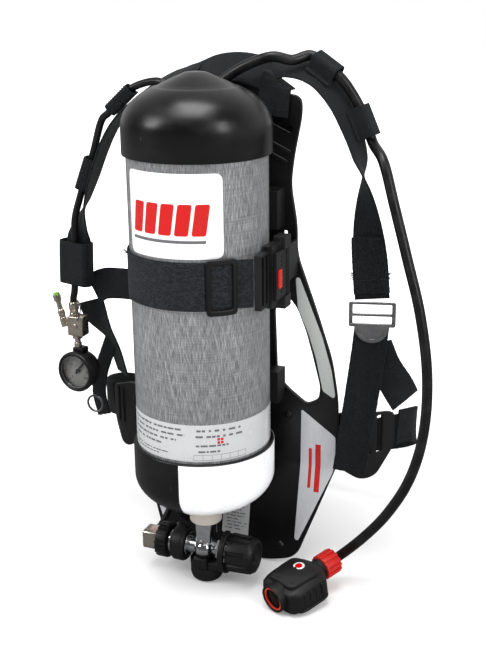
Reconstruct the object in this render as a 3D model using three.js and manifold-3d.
// A self-contained breathing apparatus: a composite air cylinder held valve-down on a
// plastic backplate, with its pressure reducer, gauge line, demand valve and webbing harness.
// Millimetres, +Z up. The cylinder's axis is x = y = 0, the floor is z = 0, and the wearer's
// back would lie on the +Y side of the backplate. Left and right are -X and +X.

import * as THREE from "three";
import { mergeVertices } from "three/addons/utils/BufferGeometryUtils.js";
import Module from "manifold-3d";

const wasm = await Module();
wasm.setup();

// ---------------------------------------------------------------- driving dimensions

const radians = THREE.MathUtils.degToRad;

const GAP = 0.3; // left between pieces that touch

const BOTTLE_RADIUS = 78.5;
const BOTTLE_WALL = 5.7; // composite overwrap
const LINER_WALL = 2.5;
const BOTTLE_LOW = 150; // where the straight wall starts
const BOTTLE_HIGH = 545; // where it ends
const DOME_HEIGHT = 50;
const NECK_RADIUS = 20;
const NECK_END = 99; // lower face of the liner's neck
const STEM_BORE = 12;

const BOOT_RADIUS = 83;
const TOP_BOOT_RIM = 524;
const TOP_BOOT_SHOULDER = 553;
const TOP_BOOT_HEIGHT = 51;
const CROWN_RADIUS = 46; // inside it the top boot rises as a shallow cone
const CROWN_PEAK = 611;
const LOW_BOOT_RIM = 187;
const LOW_BOOT_SHOULDER = 147;
const LOW_BOOT_END = 97;
const LOW_BOOT_MOUTH = 28;

const VALVE_HEIGHT = 40; // height of the valve's cross axis
const BARREL_RADIUS = 10;
const SPINDLE_RADIUS = 4.5;
const KNOB_RADIUS = 23.5;
const KNOB_START = 33;
const KNOB_LENGTH = 33;
const KNOB_FLUTES = 10;
const GUARD_RADIUS = 26.5;
const FOOT_RADIUS = 20;
const FOOT_FLAT = 14; // radius of the face the apparatus stands on
const OUTLET_RADIUS = 12.2;
const WHEEL_RADIUS = 21.5;
const WHEEL_RIDGES = 20;
const WHEEL_START = -48;
const WHEEL_WIDTH = 14;
const REDUCER_RADIUS = 16;
const REDUCER_AT = new THREE.Vector3(-34, 0, 73);

const PLATE_FRONT = 88;
const PLATE_THICK = 6;
const PLATE_BACK = PLATE_FRONT + PLATE_THICK;
const PLATE_TOP = 580;
const PLATE_BOTTOM = -1.3; // the leaned lower edge then just meets the floor
const BEND_HEIGHT = 130; // below this the plate leans towards the cylinder
const BEND_ANGLE = radians(11.3);

const BAND_LOW = 366;
const BAND_HIGH = 420;
const BAND_RADIUS = BOTTLE_RADIUS + 0.4;
const BAND_THICK = 2.3;

const WEBBING = 40; // shoulder webbing
const BELT = 46; // waist webbing
const WEBBING_THICK = 2.4;

const DEMAND_HOSE_RADIUS = 6;
const GAUGE_HOSE_RADIUS = 4.5;
const GAUGE_RADIUS = 27;

// Where the hanging pieces and the demand valve are, and how they are turned.
const GAUGE_AT = new THREE.Vector3(-213, 80, 217);
const GAUGE_TURN = radians(-6);
const ADJUSTER_AT = new THREE.Vector3(179, 82, 322);
const ADJUSTER_TURN = radians(14);
const DEMAND_AT = new THREE.Vector3(122, -16, 23.6);
const DEMAND_HEADING = radians(62);
const DEMAND_PITCH = radians(9);

const ROUND = 28; // facets round the big turned pieces
const SMALL_ROUND = 20;

// ---------------------------------------------------------------- finishes

const finish = (color, roughness, metalness = 0) =>
  new THREE.MeshStandardMaterial({ color, roughness, metalness });

const FINISHES = {
  aluminium: finish(0xb4b6b8, 0.4, 1),
  overwrap: finish(0x8f9294, 0.35),
  bootRubber: finish(0x1b1b1d, 0.45),
  collar: finish(0xb5aa9c, 0.5),
  chrome: finish(0xd8dadc, 0.15, 1),
  steel: finish(0xb9bbbd, 0.3, 1),
  brass: finish(0xc9a878, 0.3, 1),
  blackPlastic: finish(0x1a1a1c, 0.5),
  greyPlastic: finish(0x3a3b3d, 0.55),
  darkMetal: finish(0x232426, 0.4, 0.6),
  hoseRubber: finish(0x161617, 0.5),
  webbing: finish(0x15171a, 0.9),
  padding: finish(0x1c1c1e, 0.95),
  redPlastic: finish(0xc8140f, 0.4),
  glass: finish(0xe8f0f2, 0.05),
  dial: finish(0xf2f2ee, 0.6),
  needle: finish(0x101010, 0.5),
};

// ---------------------------------------------------------------- shared tools

const apparatus = new THREE.Group();

function vector(point) {
  return new THREE.Vector3(...point);
}

function add(name, geometry, material, parent = apparatus) {
  const mesh = new THREE.Mesh(geometry, material);
  mesh.name = name;
  parent.add(mesh);
  return mesh;
}

// A closed geometry with its faces turned to point outwards.
function facingOut(geometry) {
  const flat = geometry.index ? geometry.toNonIndexed() : geometry;
  const at = flat.attributes.position;
  const [a, b, c] = [new THREE.Vector3(), new THREE.Vector3(), new THREE.Vector3()];
  let volume = 0;
  for (let i = 0; i < at.count; i += 3) {
    a.fromBufferAttribute(at, i);
    b.fromBufferAttribute(at, i + 1);
    c.fromBufferAttribute(at, i + 2);
    volume += a.dot(b.cross(c));
  }
  const result = new THREE.BufferGeometry();
  const out = new Float32Array(at.count * 3);
  for (let i = 0; i < at.count; i += 3) {
    const order = volume < 0 ? [i, i + 2, i + 1] : [i, i + 1, i + 2];
    order.forEach((source, k) => {
      out[3 * (i + k)] = at.getX(source);
      out[3 * (i + k) + 1] = at.getY(source);
      out[3 * (i + k) + 2] = at.getZ(source);
    });
  }
  result.setAttribute("position", new THREE.BufferAttribute(out, 3));
  return result;
}

function solidOf(geometry) {
  const bare = geometry.index ? geometry.toNonIndexed() : geometry.clone();
  bare.deleteAttribute("normal");
  bare.deleteAttribute("uv");
  const merged = mergeVertices(bare, 1e-3);
  return new wasm.Manifold(
    new wasm.Mesh({
      numProp: 3,
      vertProperties: new Float32Array(merged.attributes.position.array),
      triVerts: new Uint32Array(merged.index.array),
    }),
  );
}

function geometryOf(solid) {
  const mesh = solid.getMesh();
  const geometry = new THREE.BufferGeometry();
  geometry.setAttribute("position", new THREE.BufferAttribute(mesh.vertProperties, 3));
  geometry.setIndex(new THREE.BufferAttribute(mesh.triVerts, 1));
  return geometry;
}

function joined(first, ...others) {
  return geometryOf(others.reduce((solid, other) => solid.add(solidOf(other)), solidOf(first)));
}

function carved(first, ...tools) {
  return geometryOf(tools.reduce((solid, tool) => solid.subtract(solidOf(tool)), solidOf(first)));
}

function shared(first, second) {
  return geometryOf(solidOf(first).intersect(solidOf(second)));
}

// A box between two corners.
function block(low, high) {
  const size = vector(high).sub(vector(low));
  const middle = vector(high).add(vector(low)).multiplyScalar(0.5);
  return new THREE.BoxGeometry(size.x, size.y, size.z).translate(middle.x, middle.y, middle.z);
}

// A profile of [radius, height] points turned round Z.
function turned(profile, facets = ROUND) {
  const points = profile.map(([radius, height]) => new THREE.Vector2(radius, height));
  return facingOut(new THREE.LatheGeometry(points, facets).rotateX(Math.PI / 2));
}

// A pipe round Z, or a rod when it has no bore.
function pipe(outer, bore, low, high, facets = SMALL_ROUND) {
  const inner = bore > 0 ? [[bore, high], [bore, low]] : [[0, high]];
  const start = bore > 0 ? [bore, low] : [0, low];
  return turned([start, [outer, low], [outer, high], ...inner], facets);
}

const alongX = (geometry) => geometry.rotateY(Math.PI / 2);
const alongY = (geometry) => geometry.rotateX(-Math.PI / 2);

// A straight-sided outline with its corners rounded off.
function roundedOutline(corners, radius, Kind = THREE.Shape) {
  const outline = new Kind();
  const points = corners.map(([x, y]) => new THREE.Vector2(x, y));
  points.forEach((corner, i) => {
    const before = points[(i + points.length - 1) % points.length];
    const after = points[(i + 1) % points.length];
    const setBack = (other) => {
      const reach = Math.min(radius, corner.distanceTo(other) / 2 - 0.1);
      return corner.clone().lerp(other, reach / corner.distanceTo(other));
    };
    const start = setBack(before);
    const end = setBack(after);
    if (i === 0) outline.moveTo(start.x, start.y);
    else outline.lineTo(start.x, start.y);
    outline.quadraticCurveTo(corner.x, corner.y, end.x, end.y);
  });
  outline.closePath();
  return outline;
}

// An outline drawn in X and Z, made solid between two depths in Y.
function upright(shape, front, back, curveSegments = 3) {
  const settings = { depth: back - front, bevelEnabled: false, curveSegments };
  const solid = new THREE.ExtrudeGeometry(shape, settings).rotateX(Math.PI / 2);
  return facingOut(solid.translate(0, back, 0));
}

// An outline drawn in X and Y, made solid between two heights.
function standing(shape, low, high, curveSegments = 12) {
  const settings = { depth: high - low, bevelEnabled: false, curveSegments };
  return facingOut(new THREE.ExtrudeGeometry(shape, settings).translate(0, 0, low));
}

// A round hose along hand-chosen points.
function hose(points, radius, steps, sides = 10) {
  const section = new THREE.Shape();
  for (let i = 0; i < sides; i += 1) {
    const angle = (2 * Math.PI * i) / sides;
    const corner = [radius * Math.cos(angle), radius * Math.sin(angle)];
    if (i === 0) section.moveTo(...corner);
    else section.lineTo(...corner);
  }
  const extrudePath = new THREE.CatmullRomCurve3(points.map(vector), false, "centripetal");
  return facingOut(new THREE.ExtrudeGeometry(section, { steps, extrudePath }));
}

// A quarter of an ellipse, from its widest point to where the radius reaches `stop`.
function dome(radius, base, height, stop, steps = 4) {
  const points = [];
  const last = Math.acos(stop / radius);
  for (let i = 0; i <= steps; i += 1) {
    const angle = (last * i) / steps;
    points.push([radius * Math.cos(angle), base + height * Math.sin(angle)]);
  }
  return points;
}

// ---------------------------------------------------------------- cylinder

// A bottle's outline from the middle of its top, down its wall, to its neck.
function bottleOutline(radius, domeHeight, neck) {
  const top = dome(radius, BOTTLE_HIGH, domeHeight, 0.001).reverse();
  const bottom = dome(radius, BOTTLE_LOW, -domeHeight, neck);
  top[0][0] = 0;
  return [...top, ...bottom];
}

function cylinderOverwrap() {
  const outside = bottleOutline(BOTTLE_RADIUS, DOME_HEIGHT, NECK_RADIUS);
  const inside = bottleOutline(BOTTLE_RADIUS - BOTTLE_WALL, DOME_HEIGHT - BOTTLE_WALL, NECK_RADIUS);
  return turned([...outside, ...inside.reverse()]);
}

function cylinderLiner() {
  const radius = BOTTLE_RADIUS - BOTTLE_WALL - GAP;
  const height = DOME_HEIGHT - BOTTLE_WALL - GAP;
  const neck = NECK_RADIUS - GAP;
  const outside = bottleOutline(radius, height, neck);
  const inside = bottleOutline(radius - LINER_WALL, height - LINER_WALL, STEM_BORE);
  return turned([...outside, [neck, NECK_END], [STEM_BORE, NECK_END], ...inside.reverse()]);
}

function topBoot() {
  const outside = [[0, CROWN_PEAK], [12, CROWN_PEAK - 0.8]];
  outside.push(...dome(BOOT_RADIUS, TOP_BOOT_SHOULDER, TOP_BOOT_HEIGHT, CROWN_RADIUS).reverse());
  outside.push([BOOT_RADIUS, TOP_BOOT_RIM]);
  const clear = BOTTLE_RADIUS + 2 * GAP;
  const inside = dome(clear, BOTTLE_HIGH, DOME_HEIGHT + 2 * GAP, 0.001);
  inside[inside.length - 1][0] = 0;
  return turned([...outside, [clear, TOP_BOOT_RIM], ...inside]);
}

function bottomBoot() {
  const clear = BOTTLE_RADIUS + 2 * GAP;
  const drop = LOW_BOOT_SHOULDER - LOW_BOOT_END + 2;
  const outside = dome(BOOT_RADIUS, LOW_BOOT_SHOULDER, -drop, LOW_BOOT_MOUTH);
  const inside = dome(clear, BOTTLE_LOW, -(DOME_HEIGHT + 2 * GAP), NECK_RADIUS + 2);
  return turned([
    [BOOT_RADIUS, LOW_BOOT_RIM],
    ...outside,
    [NECK_RADIUS + 2, LOW_BOOT_END],
    ...inside.reverse(),
    [clear, LOW_BOOT_RIM],
    [BOOT_RADIUS, LOW_BOOT_RIM],
  ]);
}

function neckCollar() {
  const low = 78;
  const high = NECK_END - GAP;
  return turned([
    [STEM_BORE + 0.5, low],
    [16.5, low],
    [19.5, low + 5],
    [19.5, high],
    [STEM_BORE + 0.5, high],
    [STEM_BORE + 0.5, low],
  ], 24);
}

function buildCylinder() {
  add("cylinder_liner", cylinderLiner(), FINISHES.aluminium);
  add("cylinder_overwrap", cylinderOverwrap(), FINISHES.overwrap);
  add("cylinder_top_boot", topBoot(), FINISHES.bootRubber);
  add("cylinder_bottom_boot", bottomBoot(), FINISHES.bootRubber);
  add("neck_collar", neckCollar(), FINISHES.collar);
}

// ---------------------------------------------------------------- cylinder valve
// Pieces of the cross axis are drawn round Z and laid along X at the valve's height.

function onValveAxis(geometry) {
  return alongX(geometry).translate(0, 0, VALVE_HEIGHT);
}

function valveBody() {
  const stem = pipe(STEM_BORE - GAP - 0.2, 0, 70, 112);
  const neck = standing(roundedOutline([[-11, -11], [11, -11], [11, 11], [-11, 11]], 4), 31, 77.5, 3);
  const stub = pipe(8.5, 0, 12, 40);
  const barrel = onValveAxis(pipe(BARREL_RADIUS, 0, -24, 30));
  const outlet = onValveAxis(pipe(OUTLET_RADIUS, 0, -59, -20, 24));
  const seat = onValveAxis(pipe(15.2, 0, -46.5, -22, 24));
  const boss = new THREE.SphereGeometry(12.5, 14, 8).translate(0, -7, VALVE_HEIGHT + 2);
  const spindleBore = onValveAxis(pipe(SPINDLE_RADIUS + GAP, 0, 14, 40));
  const outletBore = onValveAxis(pipe(9.5, 0, -70, -44));
  return carved(joined(neck, stem, stub, barrel, outlet, seat, boss), spindleBore, outletBore);
}

function valveSpindle() {
  return onValveAxis(pipe(SPINDLE_RADIUS, 0, 14 + GAP, KNOB_START + 22));
}

// A round outline with `teeth` shallow notches, for knobs and nuts that are gripped.
function grippedOutline(radius, teeth, depth, share) {
  const outline = new THREE.Shape();
  const pitch = (2 * Math.PI) / teeth;
  for (let i = 0; i < teeth; i += 1) {
    const steps = [[0, radius], [share, radius], [share + 0.08, radius - depth], [0.92, radius - depth]];
    steps.forEach(([part, reach], k) => {
      const angle = pitch * (i + part);
      const corner = [reach * Math.cos(angle), reach * Math.sin(angle)];
      if (i === 0 && k === 0) outline.moveTo(...corner);
      else outline.lineTo(...corner);
    });
  }
  return outline;
}

function handwheelKnob() {
  const end = KNOB_START + KNOB_LENGTH;
  const grip = standing(grippedOutline(KNOB_RADIUS, KNOB_FLUTES, 1.6, 0.66), KNOB_START, end - 8);
  const nose = turned([
    [0, end - 8.5],
    [KNOB_RADIUS, end - 8.5],
    [KNOB_RADIUS, end - 4],
    [19.5, end],
    [15, end],
    [15, end - 2.5],
    [0, end - 2.5],
  ], 24);
  const bore = pipe(SPINDLE_RADIUS + GAP, 0, KNOB_START - 1, KNOB_START + 22 + GAP);
  return onValveAxis(carved(joined(grip, nose), bore));
}

// A C-shaped guard round the knob's inner edge, on an arm from a ring that clips the foot.
function knobGuard() {
  const curve = new THREE.Shape();
  const inner = GUARD_RADIUS - 6;
  curve.absarc(0, 0, GUARD_RADIUS, -0.62 * Math.PI, 0.42 * Math.PI, false);
  curve.absarc(0, 0, inner, 0.42 * Math.PI, -0.62 * Math.PI, true);
  const hoop = standing(curve, 24.5, 31.5, 14);
  // The outline's +X side turns to face down, so the hoop is swung to open at the back.
  const guard = onValveAxis(hoop.rotateZ(radians(-74)));
  const ring = pipe(FOOT_RADIUS + 0.4, 16.5 + GAP, 20.5, 27.2, 24);
  const arm = block([8, -19, 20.5], [29, -9, 30]);
  const space = pipe(16.5 + GAP, 0, 10, 40, 24);
  return carved(joined(guard, ring, arm), space);
}

function valveFoot() {
  return turned([
    [0, 0],
    [FOOT_FLAT, 0],
    [18, 3],
    [FOOT_RADIUS, 9],
    [FOOT_RADIUS, 19],
    [16.5, 20.2],
    [16.5, 29.2],
    [9, 29.2],
    [9, 11],
    [0, 11],
  ], 28);
}

function outletBumper() {
  const [start, end] = [-42, -24];
  return onValveAxis(turned([
    [15.5, start],
    [19, start],
    [21.7, start + 3],
    [21.7, end - 3],
    [19, end],
    [15.5, end],
    [15.5, start],
  ], 28));
}

function connectorWheel() {
  const end = WHEEL_START - WHEEL_WIDTH;
  const grip = standing(grippedOutline(WHEEL_RADIUS, WHEEL_RIDGES, 1.5, 0.5), end, WHEEL_START);
  return onValveAxis(carved(grip, pipe(OUTLET_RADIUS + GAP, 0, end - 1, WHEEL_START + 1, 24)));
}

function connectorBlock() {
  const face = WHEEL_START - WHEEL_WIDTH - GAP;
  const nose = pipe(7.5, 0, face - 2, WHEEL_START + 2);
  const section = roundedOutline([[-12, -12], [12, -12], [12, 12], [-12, 12]], 5);
  return onValveAxis(joined(nose, standing(section, face - 20, face, 3)));
}

function sealRing() {
  const middle = 8.5;
  const fat = 0.65;
  const profile = [];
  for (let i = 0; i <= 6; i += 1) {
    const angle = (2 * Math.PI * i) / 6;
    profile.push([middle + fat * Math.cos(angle), -52 + fat * Math.sin(angle)]);
  }
  profile[6] = profile[0];
  return onValveAxis(turned(profile, 16));
}

function buildValve() {
  add("valve_body", valveBody(), FINISHES.chrome);
  add("valve_spindle", valveSpindle(), FINISHES.steel);
  add("handwheel_knob", handwheelKnob(), FINISHES.blackPlastic);
  add("knob_guard", knobGuard(), FINISHES.blackPlastic);
  add("valve_foot", valveFoot(), FINISHES.bootRubber);
  add("outlet_bumper", outletBumper(), FINISHES.bootRubber);
  add("connector_wheel", connectorWheel(), FINISHES.blackPlastic);
  add("connector_block", connectorBlock(), FINISHES.brass);
  add("connector_o_ring", sealRing(), FINISHES.bootRubber);
}

// ---------------------------------------------------------------- reducer and hoses

function reducerBody() {
  const { x, z } = REDUCER_AT;
  const body = alongY(turned([
    [0, 18],
    [12, 18],
    [12, 20],
    [14, 20],
    [REDUCER_RADIUS, 23],
    [REDUCER_RADIUS, 68],
    [0, 68],
  ], 24)).translate(x, 0, z);
  const bracket = block([x - 12, 60, z - 8], [x + 12, 74, z + 8]);
  const outlets = block([x - 31, 58, z + 2], [x - 4, 74, z + 19]);
  return joined(body, bracket, outlets);
}

// The outlet ports the hoses leave from, on top of the reducer's outlet block.
const HOSE_PORT_HEIGHT = REDUCER_AT.z + 20;

const DEMAND_HOSE_BACK = [
  [-43, 67, HOSE_PORT_HEIGHT],
  [-43, 67.5, HOSE_PORT_HEIGHT + 8],
  [-43, 78, 140],
  [-43, 81, 180],
  [-43, 81.3, 330],
  [-43, 81.3, 490],
  [-41, 81.3, 535],
  [-31, 81.5, 566],
  [-8, 82, 591],
  [25, 82.5, 611],
  [56, 85, 621],
  [76, 94, 617],
];

const DEMAND_HOSE_FREE = [
  [187.5, 80, 512],
  [205, 68, 465],
  [224, 57, 410],
  [243, 48, 350],
  [255, 42, 280],
  [254, 38, 212],
  [240, 38, 155],
  [214, 40, 105],
  [184, 42, 66],
];

const GAUGE_HOSE_BACK = [
  [-59, 67, HOSE_PORT_HEIGHT],
  [-59, 67.5, HOSE_PORT_HEIGHT + 8],
  [-60, 76, 140],
  [-60, 82, 180],
  [-60, 82, 330],
  [-60, 82, 500],
  [-62, 80, 540],
  [-65, 77, 564],
  [-71, 78, 579],
  [-82, 81, 590],
];

// Between the two flaps on the left strap the hose stands a little way off the webbing.
const GAUGE_HOSE_BOW = [-167, 88, 543];

const GAUGE_HOSE_END = [
  [-217, 82, 321],
  [-218, 80.5, 314],
  [-218, 80, 309.5],
];

function buildReducer() {
  add("reducer_body", reducerBody(), FINISHES.darkMetal);
  const route = [
    [-74, 12 + GAP, 44],
    [-74, 24, 45],
    [-73, 38, 52],
    [-71.5, 50, 62],
    [-71, 60, 73],
  ];
  add("high_pressure_hose", hose(route, 4, 10, 8), FINISHES.hoseRubber);
}

// ---------------------------------------------------------------- backplate

// The half of the plate's outline on the right, from the bottom to the top.
const PLATE_EDGE = [
  [0, PLATE_BOTTOM],
  [58, PLATE_BOTTOM],
  [92, 8],
  [138, 138],
  [137, 218],
  [129, 268],
  [110, 325],
  [84, 396],
  [84, 430],
  [76, 478],
  [80, 510],
  [90, 560],
  [88, PLATE_TOP],
  [52, PLATE_TOP],
  [34, 572],
  [0, 566],
];

// The grip openings beside the cylinder.
const GRIP_OPENING = [[56, 327], [75, 343], [86, 329], [97, 301], [105, 273], [115, 234], [113, 218],
  [97, 209], [75, 225], [59, 240]];

const mirrored = (outline) => outline.map(([x, z]) => [-x, z]);

// A flat piece of the plate, with everything below the bend leaned towards the cylinder.
function leaned(flat) {
  const far = 400;
  const below = block([-far, 0, -far], [far, far, BEND_HEIGHT]);
  const lower = shared(flat, block([-far, 0, -far], [far, far, BEND_HEIGHT + 2]));
  lower.translate(0, -PLATE_FRONT, -BEND_HEIGHT).rotateX(-BEND_ANGLE);
  lower.translate(0, PLATE_FRONT, BEND_HEIGHT);
  return joined(carved(flat, below), lower);
}

function backplate() {
  const outline = [...PLATE_EDGE, ...mirrored(PLATE_EDGE.slice(1, -1)).reverse()];
  const shape = roundedOutline(outline, 14);
  for (const side of [GRIP_OPENING, mirrored(GRIP_OPENING)]) {
    shape.holes.push(roundedOutline(side, 6, THREE.Path));
  }
  const plate = leaned(upright(shape, PLATE_FRONT, PLATE_BACK, 2));
  const slots = [];
  for (const side of [-1, 1]) {
    // The band's slot, and the slanted slot the shoulder webbing hangs from.
    slots.push(block([side * 70 - 2.5, 80, BAND_LOW - 3], [side * 70 + 2.5, 100, BAND_HIGH + 3]));
    const strapSlot = block([-22, -10, -3], [22, 10, 3]).rotateY(side * radians(25));
    slots.push(strapSlot.translate(side * 58, 91, 549));
  }
  return carved(plate, ...slots);
}

// Two saddles that seat the cylinder, joined by a spine. The hoses pass beside them.
function cylinderCradle() {
  const back = PLATE_FRONT - GAP;
  const upper = block([-32, 62, 429], [70, back, 474]);
  const lower = block([-32, 62, 215], [70, back, 255]);
  const spine = block([-14, 79.5, 250], [14, back, 432]);
  const seat = pipe(BOTTLE_RADIUS + GAP + 0.2, 0, 200, 500, 40);
  return carved(joined(upper, lower, spine), seat);
}

function buildBackplate() {
  add("backplate", backplate(), FINISHES.blackPlastic);
  add("cylinder_cradle", cylinderCradle(), FINISHES.blackPlastic);
}

// ---------------------------------------------------------------- cylinder band

// Part of a ring round the cylinder, between two angles measured from +X.
function ringPart(inner, outer, from, to, low, high, segments = 24) {
  const shape = new THREE.Shape();
  shape.absarc(0, 0, inner, radians(from), radians(to), false);
  shape.absarc(0, 0, outer, radians(to), radians(from), true);
  return standing(shape, low, high, segments);
}

function cylinderBand() {
  const inner = BAND_RADIUS;
  const outer = BAND_RADIUS + BAND_THICK;
  const [left, right] = [radians(-210), radians(-38)];
  const shape = new THREE.Shape();
  shape.moveTo(-70 + BAND_THICK / 2, PLATE_BACK + 2);
  shape.lineTo(inner * Math.cos(left), inner * Math.sin(left));
  shape.absarc(0, 0, inner, left, right, false);
  shape.lineTo(80.6, -36.4);
  shape.lineTo(79.6, -39.4);
  shape.absarc(0, 0, outer, right, left, true);
  shape.lineTo(-70 - BAND_THICK / 2, PLATE_BACK + 2);
  return standing(shape, BAND_LOW, BAND_HIGH, 24);
}

function bandSlider() {
  const inner = BAND_RADIUS + BAND_THICK + 2 * GAP;
  const frame = ringPart(inner, inner + 3, -61, -37, BAND_LOW - 5, BAND_HIGH + 3, 8);
  const window = ringPart(inner - 2, inner + 6, -57.5, -40.5, BAND_LOW + 1, BAND_HIGH - 3, 6);
  return carved(frame, window);
}

// The buckle lies on the cylinder's right side, its length running along Y.
const BUCKLE_INNER = 81.5;
const LEVER_FACE = 92.4;
const LEVER_PIN = { x: 94.6, y: 26.5, radius: 1.6 };
const LEVER_LOW = 366;
const LEVER_HIGH = 420;
const CATCH_MIDDLE = 389.5;

function bandLadder() {
  const frame = block([BUCKLE_INNER, -38, 362], [89, -12.5, 424]);
  const tongue = block([84, -13, 374], [87.4, 8, 405]);
  const slots = [-35, -24].map((y) => block([70, y, BAND_LOW - 0.5], [100, y + 7, BAND_HIGH + 0.5]));
  return carved(joined(frame, tongue), ...slots);
}

function buckleHousing() {
  const body = block([BUCKLE_INNER, -12, 358], [92, 20, 428]);
  const socket = block([83.6, -13, 373.6], [87.8, 9, 405.4]);
  const catchPocket = block([88.4, -6, CATCH_MIDDLE - 13], [93, 8, CATCH_MIDDLE + 13]);
  const arm = block([BUCKLE_INNER, 19, 372], [86, PLATE_FRONT - GAP, 414]);
  const ears = [[352, LEVER_LOW - 0.4], [LEVER_HIGH + 0.4, 434]].map(([low, high]) =>
    block([84, 12, low], [98, 31, high]),
  );
  const hole = pipe(LEVER_PIN.radius + GAP, 0, 340, 440, 12).translate(LEVER_PIN.x, LEVER_PIN.y, 0);
  return carved(joined(body, arm, ...ears), socket, catchPocket, hole);
}

function bandCamLever() {
  const panel = block([LEVER_FACE, -8, LEVER_LOW], [95.6, 24, LEVER_HIGH]);
  const barrel = pipe(3.4, 0, LEVER_LOW, LEVER_HIGH, 16).translate(LEVER_PIN.x, LEVER_PIN.y, 0);
  const hole = pipe(LEVER_PIN.radius + GAP, 0, 340, 440, 12).translate(LEVER_PIN.x, LEVER_PIN.y, 0);
  const window = block([90, -4, CATCH_MIDDLE - 11], [99, 6, CATCH_MIDDLE + 11]);
  return carved(joined(panel, barrel), hole, window);
}

function buildBand() {
  add("cylinder_band", cylinderBand(), FINISHES.webbing);
  add("band_slider", bandSlider(), FINISHES.blackPlastic);
  add("band_ladder", bandLadder(), FINISHES.greyPlastic);
  add("band_buckle_housing", buckleHousing(), FINISHES.greyPlastic);
  add("band_cam_lever", bandCamLever(), FINISHES.greyPlastic);
  const pin = pipe(LEVER_PIN.radius, 0, 352.5, 433.5, 12).translate(LEVER_PIN.x, LEVER_PIN.y, 0);
  add("band_lever_pin", pin, FINISHES.steel);
  const catchLow = [92.3, -3.6, CATCH_MIDDLE - 10.6];
  const catchHigh = [97.4, 5.6, CATCH_MIDDLE + 10.6];
  add("band_release_catch", block(catchLow, catchHigh), FINISHES.redPlastic);
}

// ---------------------------------------------------------------- harness
// A webbing route is a list of stations: a point on the centre line, and the way the width lies.

const RIGHT_STRAP = [
  [[62, 107, 606], [0, 0.9, 0.43]],
  [[83, 105, 606], [0, 0.9, 0.43]],
  [[106, 101, 597], [0.05, 0.9, 0.4]],
  [[130, 98, 572], [0.2, 0.95, 0.25]],
  [[148, 96, 538], [0.2, 0.97, 0.1]],
  [[157, 94, 512], [0.1, 1, 0]],
  [[162, 91, 490], [-0.33, 0.94, 0]],
  [[166, 88, 466], [-0.7, 0.7, 0]],
  [[170, 86, 435], [-0.94, 0.34, 0]],
  [[174, 85, 398], [-1, -0.09, 0]],
  [[178, 83.5, 352], [-0.97, -0.25, 0]],
];

const LEFT_STRAP = [
  [[-62, 107, 600], [0, -0.95, -0.3]],
  [[-84, 105, 592], [0, -0.95, -0.3]],
  [[-109, 102, 579], [0.05, -0.95, -0.25]],
  [[-137, 99, 558], [0.1, -0.97, -0.15]],
  [[-158, 97, 531], [0.1, -1, 0]],
  [[-173, 95, 502], [0.12, -1, 0]],
  [[-186, 94, 470], [0.15, -0.99, 0]],
  [[-198, 93, 437], [0.35, -0.94, 0]],
  [[-206, 92, 411], [0.75, -0.66, 0]],
  [[-211, 91, 388], [0.98, -0.2, 0]],
  [[-214, 91, 342], [0.98, -0.2, 0]],
];

// The lower webbing of each side, from the adjuster down to the end of the waist wing.
const LOWER_RIGHT = [
  [[182, 86.5, 297], [0.97, 0.25, 0]],
  [[189, 96, 272], [0.95, 0.3, 0]],
  [[200, 119, 238], [0.8, 0.6, 0]],
  [[206, 142, 210], [0.6, 0.8, 0]],
];

const LOWER_LEFT = [
  [[-206, 102, 306], [0.98, 0, 0]],
  [[-201, 103, 291], [0.98, -0.1, 0]],
  [[-190, 104, 272], [0.9, -0.4, 0]],
  [[-180, 108, 252], [0.78, -0.62, 0]],
  [[-170, 116, 205], [0.75, -0.66, 0]],
];

// The free ends: one hangs from the right adjuster, one arches back to the plate on the left.
const RIGHT_TAIL = [
  [[180.2, 77.5, 321], [0.97, 0.25, 0]],
  [[177.2, 77, 292], [0.97, 0.25, 0]],
  [[172, 77, 250], [0.97, 0.25, 0]],
  [[164, 77, 190], [0.97, 0.25, 0]],
  [[156, 78, 134], [0.97, 0.25, 0]],
];

const LEFT_TAIL = [
  [[-197, 97, 322], [0.6, -0.2, -0.8]],
  [[-184, 98, 331], [0.25, -0.2, -0.95]],
  [[-160, 99, 334], [0, -0.1, -1]],
  [[-130, 100, 332], [-0.1, 0, -1]],
  [[-98, 101, 324], [-0.1, 0, -1]],
];

// A short tab sewn to the left lower webbing, which a welded ring hangs in.
const RING_TAB = [
  [[-180, 109, 258], [0.85, -0.5, 0]],
  [[-190, 113, 236], [0.93, -0.35, 0]],
  [[-202, 112, 202], [0.95, -0.25, 0]],
  [[-203, 107, 176], [0.95, -0.25, 0]],
  [[-194, 102, 148], [0.95, -0.25, 0]],
];

function curvesOf(stations) {
  return {
    path: new THREE.CatmullRomCurve3(stations.map(([point]) => vector(point))),
    widths: new THREE.CatmullRomCurve3(stations.map(([, across]) => vector(across))),
  };
}

// The webbing's centre, run, width and outward directions at a share of its route.
function frameOn({ path, widths }, share) {
  const centre = path.getPoint(share);
  const along = path.getTangent(share);
  const across = widths.getPoint(share);
  across.addScaledVector(along, -across.dot(along)).normalize();
  return { centre, along, across, out: new THREE.Vector3().crossVectors(along, across) };
}

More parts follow.
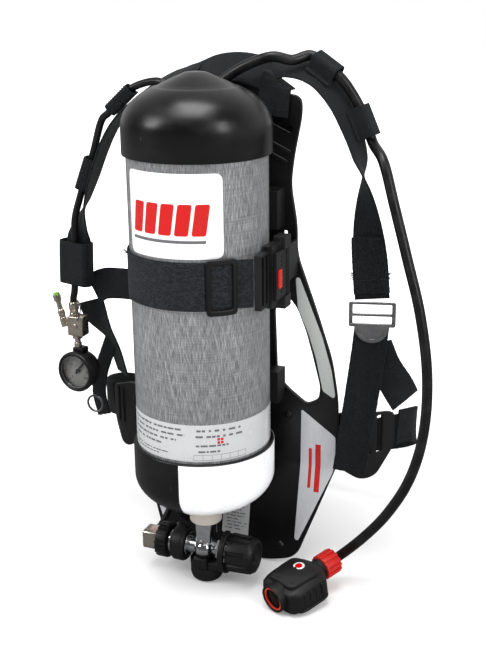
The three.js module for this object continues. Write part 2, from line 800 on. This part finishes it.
// Webbing swept along its stations.
function strap(stations, width, steps) {
  const curves = curvesOf(stations);
  const corners = [];
  const faces = [];
  for (let i = 0; i <= steps; i += 1) {
    const { centre, across, out } = frameOn(curves, i / steps);
    for (const [side, face] of [[-1, -1], [1, -1], [1, 1], [-1, 1]]) {
      const corner = centre.clone().addScaledVector(across, (side * width) / 2);
      corners.push(corner.addScaledVector(out, (face * WEBBING_THICK) / 2));
    }
  }
  const quad = (a, b, c, d) => faces.push(a, b, c, a, c, d);
  for (let i = 0; i < steps; i += 1) {
    for (let k = 0; k < 4; k += 1) {
      const next = (k + 1) % 4;
      quad(4 * i + k, 4 * i + next, 4 * (i + 1) + next, 4 * (i + 1) + k);
    }
  }
  const last = 4 * steps;
  quad(3, 2, 1, 0);
  quad(last, last + 1, last + 2, last + 3);
  const geometry = new THREE.BufferGeometry().setFromPoints(corners);
  geometry.setIndex(faces);
  return facingOut(geometry);
}

// The flaps that hold a hose on a shoulder strap: where on the strap, how long, and for which hose.
const FLAP_WALL = 1.7;
const FLAP_SEAT = WEBBING_THICK / 2 + 1.3; // a flap's lower face, from the middle of the webbing
const onRight = { stations: RIGHT_STRAP, radius: DEMAND_HOSE_RADIUS };
const onLeft = { stations: LEFT_STRAP, radius: GAUGE_HOSE_RADIUS };
const FLAPS = {
  rightUpper: { ...onRight, share: 0.195, length: 34, offset: 8 },
  rightLower: { ...onRight, share: 0.38, length: 36, offset: 12 },
  leftUpper: { ...onLeft, share: 0.29, length: 38, offset: 11 },
  leftLower: { ...onLeft, share: 0.6, length: 42, offset: 0 },
};

const FLAP_NODES = {
  rightUpper: "hose_flap_right_upper",
  rightLower: "hose_flap_right_lower",
  leftUpper: "hose_flap_left_upper",
  leftLower: "hose_flap_left_lower",
};

// Turns a piece drawn in (width, outwards, run) directions to its place on the webbing.
function onWebbing(geometry, { stations, share }) {
  const { centre, along, across, out } = frameOn(curvesOf(stations), share);
  const turn = new THREE.Matrix4().makeBasis(across, out, along.clone().negate());
  return facingOut(geometry.applyMatrix4(turn.setPosition(centre)));
}

// A loop of webbing over the hose, with the flat seam that sews it to the strap.
function hoseFlap({ radius, length, offset }) {
  const half = radius + 2.2 + FLAP_WALL;
  const low = FLAP_SEAT;
  const high = low + 2 * FLAP_WALL + 2 * radius + 4;
  const seam = offset - half - 5;
  const shape = roundedOutline([
    [offset + half, low],
    [offset + half, high],
    [offset - half, high],
    [offset - half, low + FLAP_WALL],
    [seam, low + FLAP_WALL],
    [seam, low],
  ], 3);
  const bore = half - FLAP_WALL;
  shape.holes.push(roundedOutline([
    [offset - bore, low + FLAP_WALL],
    [offset + bore, low + FLAP_WALL],
    [offset + bore, high - FLAP_WALL],
    [offset - bore, high - FLAP_WALL],
  ], 4, THREE.Path));
  return standing(shape, -length / 2, length / 2, 2);
}

// The hose's centre at the start, middle and end of a flap. It bows a little, as the strap does.
function heldIn({ stations, share, radius, length, offset }) {
  const { centre, along, across, out } = frameOn(curvesOf(stations), share);
  const middle = FLAP_SEAT + FLAP_WALL + radius + 2.9;
  // Half a diameter beyond each mouth the hose still runs straight.
  const reach = length / 2 + radius;
  return [[-1, 1.5], [0, 0], [1, 1.5]].map(([part, sag]) => {
    const point = centre.clone().addScaledVector(along, part * reach);
    return point.addScaledVector(across, offset).addScaledVector(out, middle - sag).toArray();
  });
}

// A point beside the middle of a webbing route, `out` from its face.
function pointOut(stations, share, out) {
  const frame = frameOn(curvesOf(stations), share);
  return frame.centre.addScaledVector(frame.out, out).toArray();
}

// The closed sleeve at the foot of the left strap, holding the strap and the gauge hose together.
const SLEEVE = { stations: LEFT_STRAP, share: 0.95, length: 56, width: 47, low: -5.2, high: 14.5 };
const SLEEVE_WALL = 1.8;

function hoseSleeve() {
  const { width, low, high, length } = SLEEVE;
  const rim = (inset) => [
    [-width / 2 + inset, low + inset],
    [width / 2 - inset, low + inset],
    [width / 2 - inset, high - inset],
    [-width / 2 + inset, high - inset],
  ];
  const shape = roundedOutline(rim(0), 5);
  shape.holes.push(roundedOutline(rim(SLEEVE_WALL), 3, THREE.Path));
  return standing(shape, -length / 2 - 6, length / 2 - 6, 2);
}

// The yoke: webbing over the plate's top edge, looped through the two slanted slots.
const YOKE_WIDTH = 46;
const YOKE_CREST = [
  [[-50, 107, 595], [0, 0.75, 0.66]],
  [[-26, 107, 604], [0, 0.75, 0.66]],
  [[0, 107, 607], [0, 0.75, 0.66]],
  [[26, 107, 604], [0, 0.75, 0.66]],
  [[50, 107, 595], [0, 0.75, 0.66]],
];
// Where each loop turns over the plate's top edge: the right one stands higher.
const YOKE_FOLDS = { 1: [[44, 603], [75, 583]], [-1]: [[44, 592], [75, 583]] };
const YOKE_HANGS = [85.4, 87.5]; // the front run of a loop, just clear of the plate
const YOKE_REACH = 114; // how far back the folded run goes

function yokeLoop(side) {
  const fold = YOKE_FOLDS[side];
  const face = [[38, 566], [71, 545], ...fold.slice().reverse()];
  const mirror = ([x, z]) => [side * x, z];
  const outlined = (corners) => {
    return new THREE.Shape(corners.map(mirror).map(([x, z]) => new THREE.Vector2(x, z)));
  };
  const hanging = upright(outlined(face), ...YOKE_HANGS);
  const [[x0, z0], [x1, z1]] = fold;
  const top = [[x0, z0], [x1, z1], [x1, z1 + WEBBING_THICK], [x0, z0 + WEBBING_THICK]];
  const folded = upright(outlined(top), YOKE_HANGS[0], YOKE_REACH);
  return joined(hanging, folded);
}

// Webbing that hangs from the crest behind the plate's top edge.
const APRON_EDGE = [[-80, 532], [80, 532], [82, 556], [50, 584], [26, 595], [0, 598], [-26, 595],
  [-50, 584], [-82, 556]];
const APRON_LIES = [96.2, 98.4];

function shoulderYoke() {
  const shape = new THREE.Shape(APRON_EDGE.map(([x, z]) => new THREE.Vector2(x, z)));
  const apron = upright(shape, ...APRON_LIES);
  return joined(strap(YOKE_CREST, YOKE_WIDTH, 14), yokeLoop(1), yokeLoop(-1), apron);
}

function buildHarness() {
  add("shoulder_yoke", shoulderYoke(), FINISHES.webbing);
  add("shoulder_strap_right", strap(RIGHT_STRAP, WEBBING, 26), FINISHES.webbing);
  add("shoulder_strap_left", strap(LEFT_STRAP, WEBBING, 26), FINISHES.webbing);
  add("lower_strap_right", strap(LOWER_RIGHT, WEBBING, 8), FINISHES.webbing);
  const tab = strap(RING_TAB, 24, 8);
  add("lower_strap_left", joined(strap(LOWER_LEFT, WEBBING, 8), tab), FINISHES.webbing);
  add("strap_tail_right", strap(RIGHT_TAIL, WEBBING, 6), FINISHES.webbing);
  add("strap_tail_left", strap(LEFT_TAIL, WEBBING, 8), FINISHES.webbing);
  for (const [name, flap] of Object.entries(FLAPS)) {
    add(FLAP_NODES[name], onWebbing(hoseFlap(flap), flap), FINISHES.webbing);
  }
  add("hose_sleeve_left", onWebbing(hoseSleeve(), SLEEVE), FINISHES.webbing);
  const ring = new THREE.TorusGeometry(11, 1.5, 6, 18).rotateX(Math.PI / 2);
  add("d_ring", facingOut(ring.translate(-200, 90, 167)), FINISHES.steel);
}

// The metal adjuster on the right strap: a frame with three bars and a half-round release tab.
function adjusterFrame() {
  const rim = roundedOutline([[-27, -3], [27, -3], [27, 27], [-27, 27]], 3);
  const windows = [[1, 10], [13, 24]].map(([low, high]) =>
    roundedOutline([[-22.5, low], [22.5, low], [22.5, high], [-22.5, high]], 1, THREE.Path),
  );
  rim.holes.push(...windows);
  return upright(rim, -2, 1, 1);
}

// The lever hangs in front of the frame on two ears, with the strap's free end between.
function adjusterLever() {
  const tab = new THREE.Shape();
  tab.moveTo(-20, 0);
  tab.absarc(0, 0, 20, Math.PI, 2 * Math.PI, false);
  tab.lineTo(25, 0);
  tab.lineTo(25, 3);
  tab.lineTo(-25, 3);
  tab.lineTo(-25, 0);
  const ears = [-25, 22].map((x) => block([x, -8, 0], [x + 3, -2.6, 3]));
  return joined(upright(tab, -9, -7, 12), ...ears);
}

function buildAdjuster() {
  const group = new THREE.Group();
  group.position.copy(ADJUSTER_AT);
  group.rotation.z = ADJUSTER_TURN;
  apparatus.add(group);
  add("adjuster_frame_right", adjusterFrame(), FINISHES.steel, group);
  add("adjuster_lever_right", adjusterLever(), FINISHES.steel, group);
}

// ---------------------------------------------------------------- waist

// The wing's outline seen from the front.
const WING_FACE = [[96, 134], [130, 130], [158, 106], [172, 106], [192, 138], [192, 186], [150, 200],
  [96, 192]];
const WING_HALF = 2.2; // half its thickness

// The line each wing follows seen from above: the left one is splayed further open.
const WING_WALLS = {
  1: [[100, 98.5, 0], [128, 99.5, 0], [152, 112, 0], [171, 134, 0], [188, 165, 0]],
  [-1]: [[100, 98.5, 0], [128, 99.5, 0], [152, 104.5, 0], [172, 113, 0], [190, 126, 0]],
};

// A curved plastic wing that reaches round the wearer's side, tapering to its belt slot.
function waistWing(side) {
  const wall = new THREE.CatmullRomCurve3(WING_WALLS[side].map(vector));
  const outer = [];
  const inner = [];
  const steps = 10;
  for (let i = 0; i <= steps; i += 1) {
    const point = wall.getPoint(i / steps);
    const tangent = wall.getTangent(i / steps);
    outer.push([point.x + WING_HALF * tangent.y, point.y - WING_HALF * tangent.x]);
    inner.push([point.x - WING_HALF * tangent.y, point.y + WING_HALF * tangent.x]);
  }
  const rim = [...outer, ...inner.reverse()];
  const shape = new THREE.Shape(rim.map(([x, y]) => new THREE.Vector2(x, y)));
  const trim = upright(roundedOutline(WING_FACE, 8), 80, 200, 3);
  const slot = block([172, 100, 136], [177, 200, 188]);
  const wing = carved(shared(standing(shape, 90, 210, 4), trim), slot);
  return side > 0 ? wing : facingOut(wing.applyMatrix4(new THREE.Matrix4().makeScale(-1, 1, 1)));
}

function lumbarPad() {
  const corners = [[-96, 104], [96, 104], [90, 196], [60, 214], [-60, 214], [-90, 196]];
  return upright(roundedOutline(corners, 16), 102, 122, 3);
}

// The belt droops from the wings to its buckle, which hangs behind the plate.
const BELT_ROUTES = {
  1: [
    [190, 172, 160],
    [203, 196, 157],
    [200, 224, 143],
    [172, 250, 120],
    [120, 270, 98],
    [38, 280, 85],
  ],
  [-1]: [
    [193, 131, 160],
    [210, 142, 158],
    [219, 167, 155],
    [213, 206, 145],
    [184, 241, 124],
    [124, 268, 100],
    [38, 280, 85],
  ],
};

// Half of the belt, from the wing's end bar round behind the pad to the buckle.
function beltHalf(side) {
  const stations = BELT_ROUTES[side].map(([x, y, z]) => [[side * x, y, z], [0, 0, 1]]);
  return strap(stations, BELT, 16);
}

const BUCKLE_AT = new THREE.Vector3(0, 280, 85);

function waistBuckle() {
  const half = 26;
  const shell = block([-34, -7, -half], [12, 7, half]);
  const socket = block([-14, -2.3, -14], [13, 2.3, 14]);
  const slot = block([-31, -20, -half + 2], [-26, 20, half - 2]);
  const buttonHole = block([-6, 1, -8], [6, 10, 8]);
  const tongueFrame = block([13, -3.5, -half], [34, 3.5, half]);
  const tongue = block([-12, -2, -13.6], [14, 2, 13.6]);
  const tongueSlot = block([26, -20, -half + 2], [31, 20, half - 2]);
  return {
    body: carved(shell, socket, slot, buttonHole),
    tongue: carved(joined(tongueFrame, tongue), tongueSlot),
    button: block([-5.6, 4.6, -7.6], [5.6, 8.6, 7.6]),
  };
}

function buildWaist() {
  add("waist_wing_left", waistWing(-1), FINISHES.greyPlastic);
  add("waist_wing_right", waistWing(1), FINISHES.greyPlastic);
  add("lumbar_pad", lumbarPad(), FINISHES.padding);
  add("waist_belt_left", beltHalf(-1), FINISHES.webbing);
  add("waist_belt_right", beltHalf(1), FINISHES.webbing);
  const buckle = waistBuckle();
  const group = new THREE.Group();
  group.position.copy(BUCKLE_AT);
  apparatus.add(group);
  add("waist_buckle_body", buckle.body, FINISHES.blackPlastic, group);
  add("waist_buckle_tongue", buckle.tongue, FINISHES.blackPlastic, group);
  add("waist_buckle_button", buckle.button, FINISHES.redPlastic, group);
}

// ---------------------------------------------------------------- gauge line

function gaugeBlock() {
  const manifold = block([-9.5, -9, 0], [13, 9, 26]);
  const ferrule = pipe(6.6, 0, 24, 44).translate(-3, 0, 0);
  const stem = pipe(5, 0, -16.6, 1);
  const whistlePort = pipe(4, 0, -3, 2.6, 14).rotateY(radians(-76)).translate(-10, 0, 12);
  return joined(manifold, ferrule, stem, whistlePort);
}

function whistle() {
  const body = turned([
    [0, 0],
    [4.6, 0],
    [4.6, 22],
    [3.4, 24],
    [3.4, 34],
    [5.2, 36],
    [5.2, 46],
    [0, 46],
  ], 14);
  return body;
}

// The gauge is drawn facing -Y, with its middle at the group's origin.
function gaugeCase() {
  const shell = turned([
    [0, -14],
    [20, -14],
    [25, -8],
    [25, 6],
    [GAUGE_RADIUS, 8],
    [GAUGE_RADIUS, 13],
    [GAUGE_RADIUS - 2.5, 15],
    [22, 15],
    [22, 4],
    [0, 4],
  ], 28);
  const facingFront = shell.rotateX(Math.PI / 2);
  const socket = block([-8, -5, 23.5], [8, 9, 31]);
  return joined(facingFront, socket);
}

function buildGauge() {
  const line = new THREE.Group();
  line.position.set(-215, 80, 265);
  apparatus.add(line);
  add("gauge_block", gaugeBlock(), FINISHES.brass, line);
  const alongSleeve = [[0.78, 10], [0.87, 8.5], [0.95, 7.5], [0.995, 7.5]].map(
    ([share, out]) => pointOut(LEFT_STRAP, share, out),
  );
  const route = [
    ...GAUGE_HOSE_BACK,
    ...heldIn(FLAPS.leftUpper),
    GAUGE_HOSE_BOW,
    ...heldIn(FLAPS.leftLower),
    ...alongSleeve,
    ...GAUGE_HOSE_END,
  ];
  add("gauge_hose", hose(route, GAUGE_HOSE_RADIUS, 44, 8), FINISHES.hoseRubber);
  const pipeWhistle = add("whistle", whistle(), FINISHES.brass, line);
  pipeWhistle.position.set(-17.6, 0, 9);
  pipeWhistle.rotation.y = radians(-14);

  const face = new THREE.Group();
  face.position.copy(GAUGE_AT);
  face.rotation.z = GAUGE_TURN;
  apparatus.add(face);
  add("gauge_case", gaugeCase(), FINISHES.blackPlastic, face);
  const dial = pipe(21.6, 2.2, 4 + GAP, 5, 28).rotateX(Math.PI / 2);
  add("gauge_dial", dial, FINISHES.dial, face);
  const lens = pipe(21.6, 0, 11, 13, 28).rotateX(Math.PI / 2);
  add("gauge_lens", lens, FINISHES.glass, face);
  const pointer = joined(
    block([-1, -7.2, -5], [1, -6.2, 17]),
    pipe(2.6, 0, 6.2, 7.4, 14).rotateX(Math.PI / 2),
    pipe(1.6, 0, 4 + GAP, 7.3, 12).rotateX(Math.PI / 2),
  );
  const needle = add("gauge_needle", pointer, FINISHES.needle, face);
  needle.rotation.y = radians(35);
}

// ---------------------------------------------------------------- demand valve
// Drawn with its inlet along +X and its cover facing up, then laid on the floor.

function demandBody() {
  const outline = roundedOutline([[-30, -26], [-16, -31], [20, -31], [32, -16], [32, 16], [20, 31],
    [-16, 31], [-30, 26]], 9);
  const shell = standing(outline, -19, 14, 4);
  const neck = alongX(pipe(13, 0, 26, 39.7, 24));
  const outlet = alongX(pipe(17, 13, -38, -24, 24));
  const buttonHole = alongY(pipe(7.4, 0, 26, 36, 20)).translate(-8, 0, -2);
  const mouth = alongX(pipe(13, 0, -40, -20, 24));
  const coverSeat = standing(demandCoverOutline(0.4), 5.6, 20, 4);
  return carved(joined(shell, neck, outlet), buttonHole, mouth, coverSeat);
}

// The soft cover over the demand diaphragm, which is pressed to purge the valve.
function demandCoverOutline(clearance) {
  const [x, y] = [24 + clearance, 24 + clearance];
  const corners = [[-x, -y + 3], [x - 7, -y], [x, -y + 10], [x, y - 10], [x - 7, y], [-x, y - 3]];
  return roundedOutline(corners, 8);
}

function demandCover() {
  return standing(demandCoverOutline(0), 8, 21, 4);
}

function swivelNut() {
  const grip = standing(grippedOutline(15.5, 14, 1.3, 0.5), 40, 62);
  const bore = pipe(DEMAND_HOSE_RADIUS + 1.2, 0, 39, 63, 20);
  return alongX(carved(grip, bore));
}

function buildDemandValve() {
  const group = new THREE.Group();
  group.position.copy(DEMAND_AT);
  group.rotation.order = "ZYX";
  group.rotation.set(0, -DEMAND_PITCH, DEMAND_HEADING);
  apparatus.add(group);
  add("demand_valve_body", demandBody(), FINISHES.blackPlastic, group);
  add("demand_valve_cover", demandCover(), FINISHES.bootRubber, group);
  add("demand_swivel_nut", swivelNut(), FINISHES.redPlastic, group);
  const button = alongY(pipe(7, 0, 28.5, 35, 20)).translate(-8, 0, -2);
  add("demand_button", button, FINISHES.blackPlastic, group);

  // The hose's last stretch runs straight into the inlet, through the swivel nut.
  group.updateMatrixWorld(true);
  const end = new THREE.Vector3(40 + GAP, 0, 0).applyMatrix4(group.matrixWorld);
  const near = new THREE.Vector3(54, 0, 0).applyMatrix4(group.matrixWorld);
  const lead = new THREE.Vector3(68, 0, 0).applyMatrix4(group.matrixWorld);
  const route = [
    ...DEMAND_HOSE_BACK,
    ...heldIn(FLAPS.rightUpper),
    ...heldIn(FLAPS.rightLower),
    ...DEMAND_HOSE_FREE,
    lead.toArray(),
    near.toArray(),
    end.toArray(),
  ];
  add("demand_hose", hose(route, DEMAND_HOSE_RADIUS, 60, 8), FINISHES.hoseRubber);
}

buildCylinder();
buildValve();
buildReducer();
buildBackplate();
buildBand();
buildHarness();
buildAdjuster();
buildWaist();
buildGauge();
buildDemandValve();

export default apparatus;
